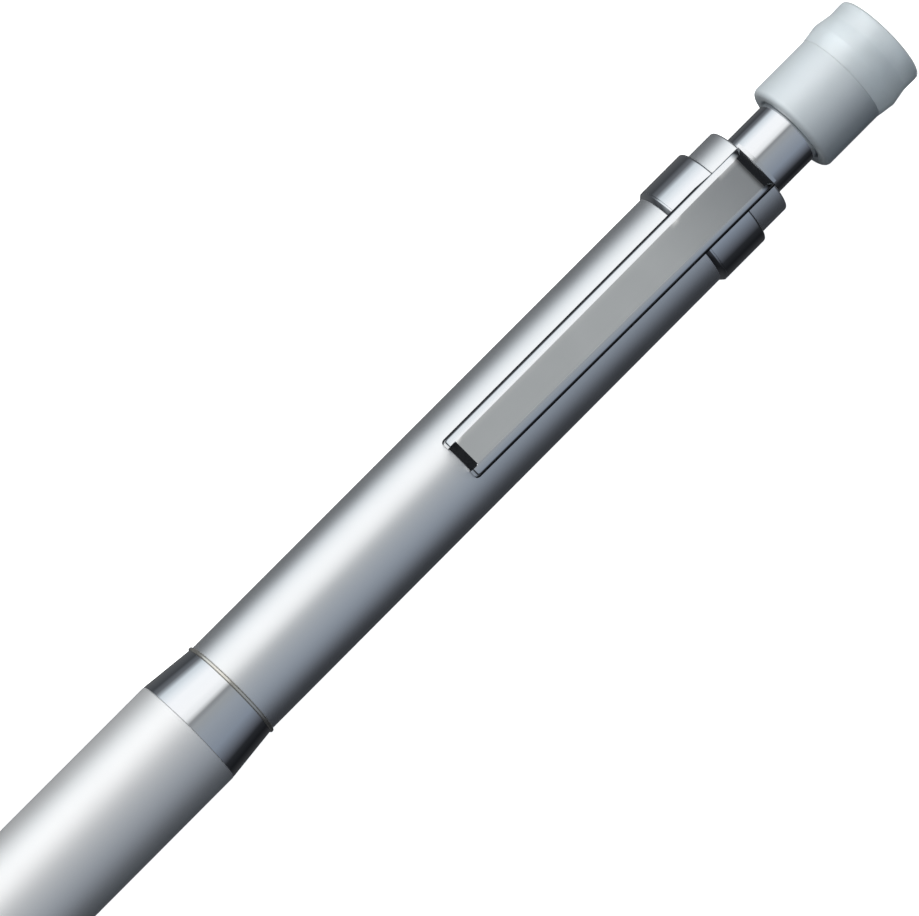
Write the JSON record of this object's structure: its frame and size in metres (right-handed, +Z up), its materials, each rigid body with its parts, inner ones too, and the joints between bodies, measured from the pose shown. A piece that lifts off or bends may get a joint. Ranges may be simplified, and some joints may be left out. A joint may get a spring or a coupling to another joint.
{
  "type": "mechanical pencil",
  "caption": "Push-button mechanical pencil with a chromed clip, silver barrel and grip, and a translucent cap over an eraser.",
  "frame": {"origin": "middle of the pencil's length, on the surface that it lies on, below the axis of the barrel", "axes": "+X along the pencil from the writing tip to the cap, +Z up through the pocket clip, +Y across"},
  "size_m": [0.1452, 0.0126, 0.0141],
  "materials": {
    "satin_silver": "satin silver lacquer-like finish, fine grain",
    "matte_grip": "fine matte bead-blasted silver",
    "polished_chrome": "mirror bright plating",
    "clip_steel": "satin stamped spring steel",
    "clear_plastic": "clear, polished",
    "frosted_plastic": "translucent, frosted, cool white",
    "white_plastic": "moulded white",
    "grey_plastic": "moulded grey",
    "pipe_steel": "bright drawn tube",
    "brass": "turned, bright",
    "spring_steel": "drawn wire",
    "black_rubber": "soft, matte",
    "eraser_white": "soft white vinyl",
    "graphite": "smooth dark grey polymer lead"
  },
  "bodies": {
    "barrel": {"lead_pipe": "pipe_steel", "lead_retainer": "black_rubber", "tip_cone": "polished_chrome", "grip_sleeve": "matte_grip", "grip_core": "grey_plastic", "joint_ring": "polished_chrome", "clear_ring": "clear_plastic", "barrel": "satin_silver", "clip_band": "polished_chrome", "clip_head": "satin_silver", "clip_root": "clip_steel", "guide_bush": "grey_plastic", "chuck_guide": "grey_plastic", "return_spring": "spring_steel"},
    "knock": {"chuck_stem": "brass", "lead_store": "white_plastic", "spare_leads": "graphite", "push_rod": "polished_chrome", "cap_sleeve": "frosted_plastic", "eraser_holder": "white_plastic", "eraser": "eraser_white"},
    "ring": {"chuck_ring": "brass"},
    "jaw_1": {"chuck_jaw_1": "brass"},
    "jaw_2": {"chuck_jaw_2": "brass"},
    "jaw_3": {"chuck_jaw_3": "brass"},
    "lead": {"lead_in_use": "graphite"},
    "cover": {"cap_cover": "frosted_plastic"},
    "clip": {"clip_arm": "clip_steel"}
  },
  "joints": [
    {"name": "knock_slide", "type": "slide", "parent": "barrel", "child": "knock", "axis": [-1, 0, 0], "range_m": [0, 0.0045], "stiffness_N_per_m": 800, "springref_m": -0.003, "deforming": ["return_spring"]},
    {"name": "chuck_ring_slide", "type": "slide", "parent": "barrel", "child": "ring", "axis": [-1, 0, 0], "range_m": [0, 0.00122]},
    {"name": "jaw_1_flex", "type": "hinge", "parent": "knock", "child": "jaw_1", "pos_m": [-0.04858, 0, 0.00778], "axis": [0, 1, 0], "range_deg": [0, 2.6]},
    {"name": "jaw_2_flex", "type": "hinge", "parent": "knock", "child": "jaw_2", "pos_m": [-0.04858, -0.00126, 0.0056], "axis": [0, -0.5, 0.866], "range_deg": [0, 2.6]},
    {"name": "jaw_3_flex", "type": "hinge", "parent": "knock", "child": "jaw_3", "pos_m": [-0.04858, 0.00126, 0.0056], "axis": [0, -0.5, -0.866], "range_deg": [0, 2.6]},
    {"name": "lead_feed", "type": "slide", "parent": "barrel", "child": "lead", "axis": [-1, 0, 0], "range_m": [0, 0.003]},
    {"name": "cap_cover_pull", "type": "slide", "parent": "knock", "child": "cover", "axis": [1, 0, 0], "range_m": [0, 0.012]},
    {"name": "clip_flex", "type": "hinge", "parent": "barrel", "child": "clip", "pos_m": [0.05343, 0, 0.01143], "axis": [0, 1, 0], "range_deg": [0, 3], "stiffness_Nm_per_rad": 2, "springref_deg": -0.57}
  ],
  "couplings": [
    {"joint": "chuck_ring_slide", "follows": "knock_slide", "ratio": 0.25},
    {"joint": "jaw_1_flex", "follows": "knock_slide", "rad_per_m": 9.6963},
    {"joint": "jaw_2_flex", "follows": "knock_slide", "rad_per_m": 9.6963},
    {"joint": "jaw_3_flex", "follows": "knock_slide", "rad_per_m": 9.6963}
  ]
}
